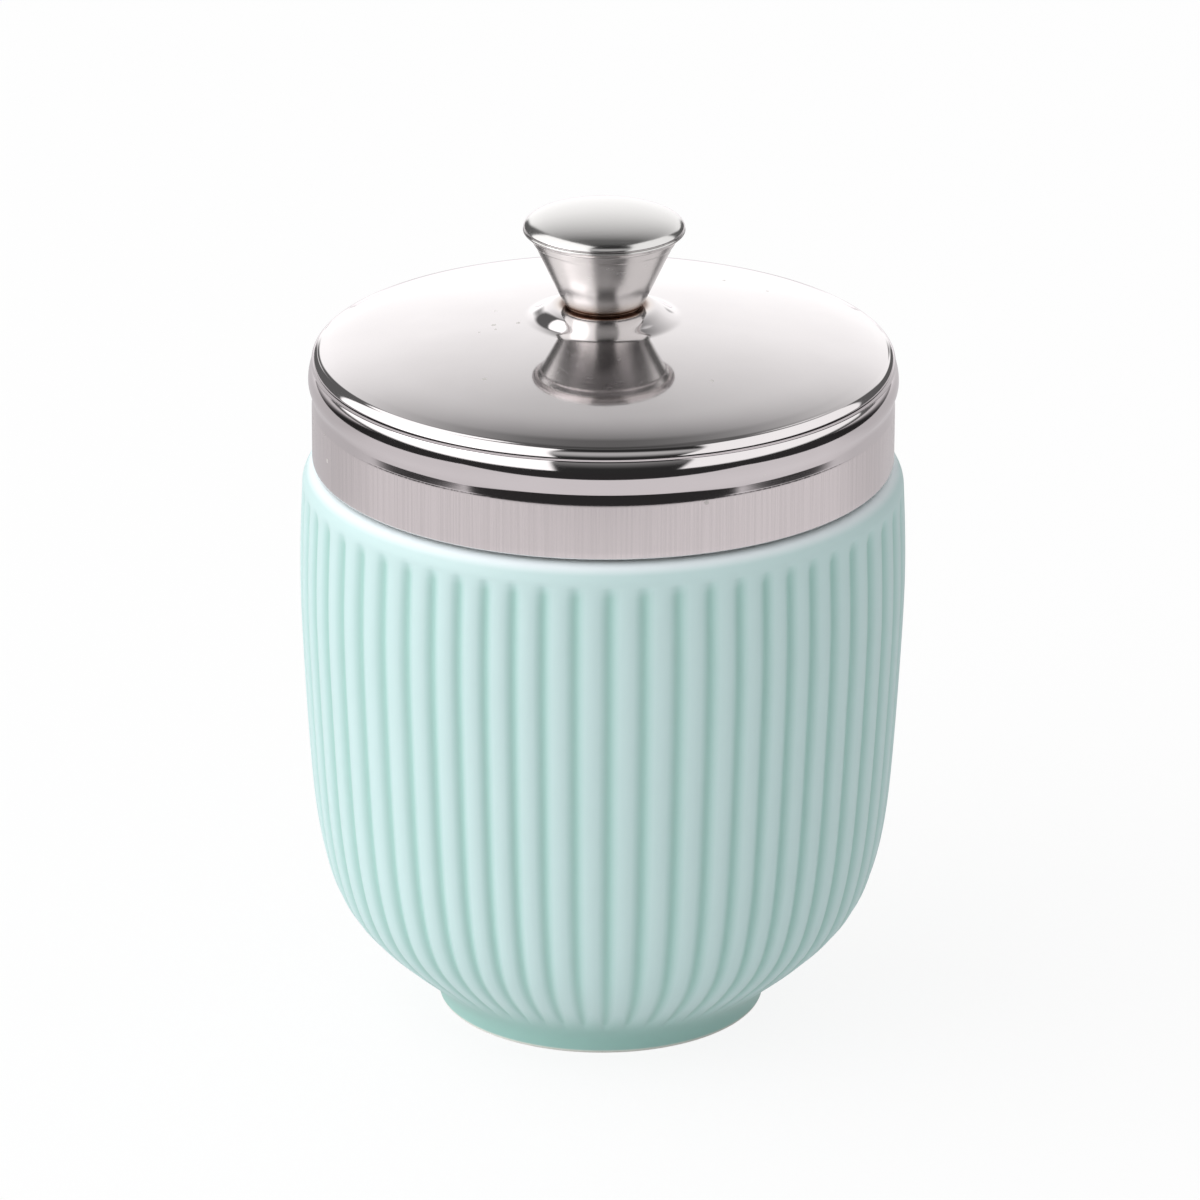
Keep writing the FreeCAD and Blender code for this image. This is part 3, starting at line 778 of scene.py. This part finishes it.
def lid_steel_material():
    """The lid: mirror polish with fine turning lines above, satin with upright draw lines on the skirt."""
    material, tree, shader = new_material("lid_steel")
    radius, height, _ = turned_place(tree)
    lines, cloud, dust = steel_marks(tree, LID_ROUND_MARKS)
    draw = steel_marks(tree, LID_UP_MARKS)["Marks"]
    outside = between(tree, radius, (SKIRT_R - 0.35) * MM, (SKIRT_R - 0.15) * MM)
    below = between(tree, height, (SKIRT_TOP_Z + 0.15) * MM, (SKIRT_TOP_Z - 0.1) * MM)
    skirt = maths(tree, "MULTIPLY", outside, below)
    tone = mixed(tree, between(tree, cloud, 0.3, 0.7), LID_STEEL_DULL, LID_STEEL)
    skirt_tone = mixed(tree, between(tree, draw, 0.35, 0.62), SKIRT_DARK, SKIRT_LIGHT)
    tone = mixed(tree, skirt, tone, skirt_tone)
    wide = between(tree, radius, *BOSS_STRAW)
    waver = maths(tree, "ADD", 0.10, maths(tree, "MULTIPLY", cloud, 0.40))
    on_top = maths(tree, "GREATER_THAN", height, (BOSS_TOP_Z - 0.3) * MM)
    tint = maths(tree, "MULTIPLY", maths(tree, "MULTIPLY", wide, waver), on_top, clamp=True)
    tone = mixed(tree, tint, tone, HEAT_STRAW)
    # Painted contact shade with the heat tint: dark brown on the boss around the knob's foot
    tint_and_shade_core = maths(tree, "MULTIPLY", between(tree, radius, *BOSS_TINT_AND_SHADE), on_top)
    tone = mixed(tree, tint_and_shade_core, tone, HEAT_TINT_AND_CONTACT_SHADE)
    tone = mixed(tree, dust, tone, DUST)
    tree.links.new(tone, shader.inputs["Base Color"])
    faint = maths(tree, "MULTIPLY", lines, 0.03)
    polish = maths(tree, "ADD", MIRROR_ROUGH, faint)
    satin = maths(tree, "ADD", SATIN_ROUGH, maths(tree, "MULTIPLY", draw, 0.08))
    level = put(tree, "ShaderNodeMix", {0: skirt, 2: polish, 3: satin}).outputs[0]
    level = maths(tree, "ADD", level, maths(tree, "MULTIPLY", dust, 0.5), clamp=True)
    tree.links.new(level, shader.inputs["Roughness"])
    ridges = put(tree, "ShaderNodeMix", {0: skirt, 2: faint, 3: draw}).outputs[0]
    bump = put(tree, "ShaderNodeBump", {"Height": ridges, "Strength": 0.5, "Distance": 0.00003})
    tree.links.new(bump.outputs[0], shader.inputs["Normal"])
    shader.inputs["Metallic"].default_value = 1.0
    return material


def silicone_material():
    """Soft milky silicone with faint flow clouds and a fine matt bloom."""
    material, tree, shader = new_material("milky_silicone")
    place = put(tree, "ShaderNodeTexCoord").outputs["Object"]
    cloud = noise(tree, place, 120.0, 3.0)
    tone = mixed(tree, between(tree, cloud, 0.3, 0.7), SILICONE_DULL, SILICONE_LIGHT)
    tree.links.new(tone, shader.inputs["Base Color"])
    level = maths(tree, "ADD", 0.42, maths(tree, "MULTIPLY", cloud, 0.2))
    tree.links.new(level, shader.inputs["Roughness"])
    grain = noise(tree, place, 3000.0, 2.0)
    bump = put(tree, "ShaderNodeBump", {"Height": grain, "Strength": 0.2, "Distance": 0.00003})
    tree.links.new(bump.outputs[0], shader.inputs["Normal"])
    shader.inputs["IOR"].default_value = 1.42
    return material


def make_materials():
    """The shared groups, then one material for each kind of surface."""
    turned_place_group()
    marks_group()
    return {
        "glaze": glaze_material(),
        "lid": lid_steel_material(),
        "cone": steel_material("knob_cone_steel", KNOB_STEEL, 0.25, CONE_MARKS, CONE_HEAT),
        "cap": steel_material("knob_cap_steel", KNOB_STEEL, 0.15, CAP_MARKS),
        "ring": steel_material("inner_ring_steel", INNER_STEEL, 0.28, RING_MARKS),
        "weld": steel_material("braze_copper", BRAZE, 0.38, WELD_MARKS),
        "seal": silicone_material(),
    }


def dress(piece, body, node, material):
    """Gives a piece its material, its body, the node it replaces, if any."""
    piece.data.materials.append(material)
    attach(piece, body)
    if node is not None:
        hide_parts(node)


materials = make_materials()
dress(cup(), "cup", "cup", materials["glaze"])
dress(seal_ring(), "seal", "seal_ring", materials["seal"])
dress(lid_shell(), "lid", "lid_shell", materials["lid"])
dress(thread_ring(), "lid", "thread_ring", materials["ring"])
dress(knob_cone(), "lid", "knob_cone", materials["cone"])
dress(knob_cap(), "lid", "knob_cap", materials["cap"])
dress(weld_ring(), "lid", None, materials["weld"])


# Studio: metres, and directions as unit vectors with y away from the camera

FLOOR_HALF = 3.0
FLOOR_FRONT = -0.240       # where the white floor ends before the camera, as the steel sees it
FLOOR_SIDE = 0.30
FLOOR_GLOW = 0.76
FLOOR_BEHIND = 0.80        # share of the glow that is left behind the object
FLOOR_TINT = (1.0, 0.96, 0.98, 1.0)
FLOOR_WHITE = 0.88         # share of plain white that keeps the shadow soft
BACK_LIGHT = 1.27
BACK_FADE = (              # sine of the height, share of the light behind
    (0.14, 1.0), (0.36, 0.88), (0.515, 0.685), (0.67, 0.46), (0.743, 0.34),
    (0.83, 0.19), (0.89, 0.085), (0.93, 0.10), (1.0, 0.02))
BACK_HALF = 0.29           # half width near the floor, then how much wider it is left and right above
BACK_LEFT = 0.09
BACK_RIGHT = 0.26
SOFT_EDGE = 0.05
LEFT_LIGHT = 1.45
LEFT_CARD = (              # each row a, b, c, d is a side: a x + b y + c z + d > 0
    (-0.883, 0.285, -0.105, 0.0),
    (-1.0, -0.384, 0.0, -0.177),
    (0.0, -1.0, 0.15, 0.50),
    (0.0, 0.0, 1.0, -0.03))
RIGHT_LIGHT = 1.12
RIGHT_CARD = (
    (0.800, 0.430, -0.284, 0.0),
    (1.0, -0.384, 0.0, -0.29),
    (0.0, -1.0, 0.25, 0.42),
    (0.0, 0.0, 1.0, -0.03))
FRONT_LIGHT = 0.50
GAP_LIGHT = 0.10
DARK_SIDE = 0.03
AROUND_LEFT = 0.80
AROUND_RIGHT = 0.0
AROUND_SHARE = 0.68        # share of the mirrored pattern in the soft light
CAMERA_FAR = 0.900
CAMERA_UP = math.radians(21.48)
CAMERA_AIM_Z = 45.53 * MM
CAMERA_AIM_X = -0.27 * MM
CAMERA_ROLL = math.radians(0.25)
LENS = 251.2


def floor():
    """Plain pale floor: white to the camera with a soft shadow; in mirrors it ends before the camera."""
    corners = np.array([[-1, -1, 0], [1, -1, 0], [1, 1, 0], [-1, 1, 0]], float) * FLOOR_HALF
    mesh = bpy.data.meshes.new("floor")
    mesh.from_pydata(corners.tolist(), [], [(0, 1, 2, 3)])
    piece = bpy.data.objects.new("floor", mesh)
    bpy.context.scene.collection.objects.link(piece)
    material, tree, shader = new_material("pale_floor")
    shader.inputs["Base Color"].default_value = (0.90, 0.90, 0.90, 1.0)
    shader.inputs["Roughness"].default_value = 0.9
    place = put(tree, "ShaderNodeTexCoord").outputs["Object"]
    x, y, _ = put(tree, "ShaderNodeSeparateXYZ", {0: place}).outputs
    aside = maths(tree, "ABSOLUTE", x)
    glow = maths(tree, "MULTIPLY", between(tree, aside, 0.03, 0.17, FLOOR_GLOW, FLOOR_GLOW * 0.95),
                 between(tree, aside, FLOOR_SIDE + 0.02, FLOOR_SIDE))
    near = maths(tree, "MULTIPLY", glow, between(tree, y, FLOOR_FRONT - 0.012, FLOOR_FRONT + 0.012))
    near = maths(tree, "ADD", near, DARK_SIDE)
    near = maths(tree, "MULTIPLY", near, between(tree, y, 0.0, 0.10, 1.0, FLOOR_BEHIND))
    far = between(tree, y, 0.20, 0.7, 0.0, BACK_LIGHT - FLOOR_BEHIND * FLOOR_GLOW)
    mirrored = maths(tree, "ADD", near, far)
    path = put(tree, "ShaderNodeLightPath")
    white = put(tree, "ShaderNodeEmission", {"Color": (1.0, 1.0, 1.0, 1.0), "Strength": 1.0})
    seen = put(tree, "ShaderNodeEmission", {"Color": FLOOR_TINT, "Strength": mirrored})
    share = maths(tree, "MULTIPLY", path.outputs["Is Camera Ray"], FLOOR_WHITE)
    plain = put(tree, "ShaderNodeMixShader", {0: share, 1: shader.outputs[0], 2: white.outputs[0]})
    glossy = put(tree, "ShaderNodeMixShader", {0: path.outputs["Is Glossy Ray"], 1: plain.outputs[0],
                                               2: seen.outputs[0]})
    tree.links.new(glossy.outputs[0], tree.nodes["Material Output"].inputs["Surface"])
    piece.data.materials.append(material)


def card(tree, way, sides):
    """Mask of a flat soft-edged card, cut out of all directions by the planes that are its sides."""
    soft = 0.5 * SOFT_EDGE
    mask = 1.0
    for *normal, d in sides:
        dot = put(tree, "ShaderNodeVectorMath", {0: way, 1: normal}, operation="DOT_PRODUCT")
        side = between(tree, dot.outputs["Value"], -d - soft, -d + soft)
        mask = maths(tree, "MULTIPLY", mask, side)
    return mask


def surroundings():
    """Light behind that fades upward, a bright card left, a weaker one right, dim before the object."""
    world = bpy.data.worlds.new("studio")
    bpy.context.scene.world = world
    world.use_nodes = True
    tree = world.node_tree
    way = put(tree, "ShaderNodeTexCoord").outputs["Generated"]
    x, y, z = put(tree, "ShaderNodeSeparateXYZ", {0: way}).outputs
    ramp = put(tree, "ShaderNodeValToRGB", {0: z})
    for place, level in BACK_FADE[1:-1]:
        ramp.color_ramp.elements.new(place)
    for stop, (place, level) in zip(ramp.color_ramp.elements, BACK_FADE):
        stop.position = place
        stop.color = (level, level, level, 1.0)
    spread = between(tree, z, 0.12, 0.34)
    left_edge = maths(tree, "MULTIPLY_ADD", spread, -BACK_LEFT, -BACK_HALF)
    right_edge = maths(tree, "MULTIPLY_ADD", spread, BACK_RIGHT, BACK_HALF)
    wide = maths(
        tree, "MULTIPLY",
        between(tree, maths(tree, "SUBTRACT", x, left_edge), -SOFT_EDGE, SOFT_EDGE),
        between(tree, maths(tree, "SUBTRACT", right_edge, x), -SOFT_EDGE, SOFT_EDGE))
    behind = maths(tree, "MULTIPLY", wide, between(tree, y, -0.05, 0.15))
    back = maths(tree, "MULTIPLY", maths(tree, "MULTIPLY", behind, ramp.outputs[0]), BACK_LIGHT)
    back = maths(tree, "MULTIPLY", back, between(tree, x, -0.5, 0.5, 1.06, 0.94))
    left = maths(tree, "MULTIPLY", card(tree, way, LEFT_CARD), LEFT_LIGHT)
    right = maths(tree, "MULTIPLY", card(tree, way, RIGHT_CARD), RIGHT_LIGHT)
    sides = maths(tree, "ADD", left, right)
    before = between(tree, y, -0.30, -0.58)
    above = maths(tree, "MULTIPLY", before, between(tree, z, 0.14, 0.70, 0.0, FRONT_LIGHT))
    dim = maths(tree, "MAXIMUM", above, between(tree, y, 0.0, 0.3, 0.0, GAP_LIGHT))
    lights = maths(tree, "MAXIMUM", maths(tree, "MAXIMUM", back, dim), sides)
    mirrored = maths(tree, "ADD", lights, DARK_SIDE)
    path = put(tree, "ShaderNodeLightPath")
    around = between(tree, x, -1.0, 1.0, AROUND_LEFT, AROUND_RIGHT)
    soft = maths(tree, "ADD", maths(tree, "MULTIPLY", mirrored, AROUND_SHARE), around)
    lit = put(tree, "ShaderNodeMix", {0: path.outputs["Is Glossy Ray"], 2: soft, 3: mirrored}).outputs[0]
    strength = put(tree, "ShaderNodeMix", {0: path.outputs["Is Camera Ray"], 2: lit, 3: 1.0}).outputs[0]
    sky = tree.nodes["Background"]
    sky.inputs["Color"].default_value = (1.0, 1.0, 1.0, 1.0)
    tree.links.new(strength, sky.inputs["Strength"])


def lamp(name, place, aim, size, power, colour):
    """Rectangular soft light aimed at a point, all in metres and watts."""
    light = bpy.data.lights.new(name, "AREA")
    light.shape = "RECTANGLE"
    light.size, light.size_y = size
    light.energy = power
    light.color = colour
    holder = bpy.data.objects.new(name, light)
    bpy.context.scene.collection.objects.link(holder)
    turn = (Vector(aim) - Vector(place)).to_track_quat("-Z", "Y").to_matrix().to_4x4()
    holder.matrix_world = Matrix.Translation(place) @ turn


def camera():
    """Long lens at the photograph's height and distance, turned by its small roll."""
    data = bpy.data.cameras.new("camera")
    data.sensor_width = 36.0
    data.lens = LENS
    data.clip_end = 20.0
    holder = bpy.data.objects.new("camera", data)
    bpy.context.scene.collection.objects.link(holder)
    aim = Vector((CAMERA_AIM_X, 0.0, CAMERA_AIM_Z))
    away = Vector((0.0, -math.cos(CAMERA_UP), math.sin(CAMERA_UP))) * CAMERA_FAR
    turn = (-away).to_track_quat("-Z", "Y").to_matrix().to_4x4()
    holder.matrix_world = Matrix.Translation(aim + away) @ turn @ Matrix.Rotation(CAMERA_ROLL, 4, "Z")
    bpy.context.scene.camera = holder


floor()
surroundings()
lamp("key_left", (-0.80, -0.35, 0.55), (0.0, 0.0, 0.04), (0.8, 0.8), 2.0, (1.0, 0.99, 1.0))
camera()
bpy.context.scene.view_settings.view_transform = "Standard"
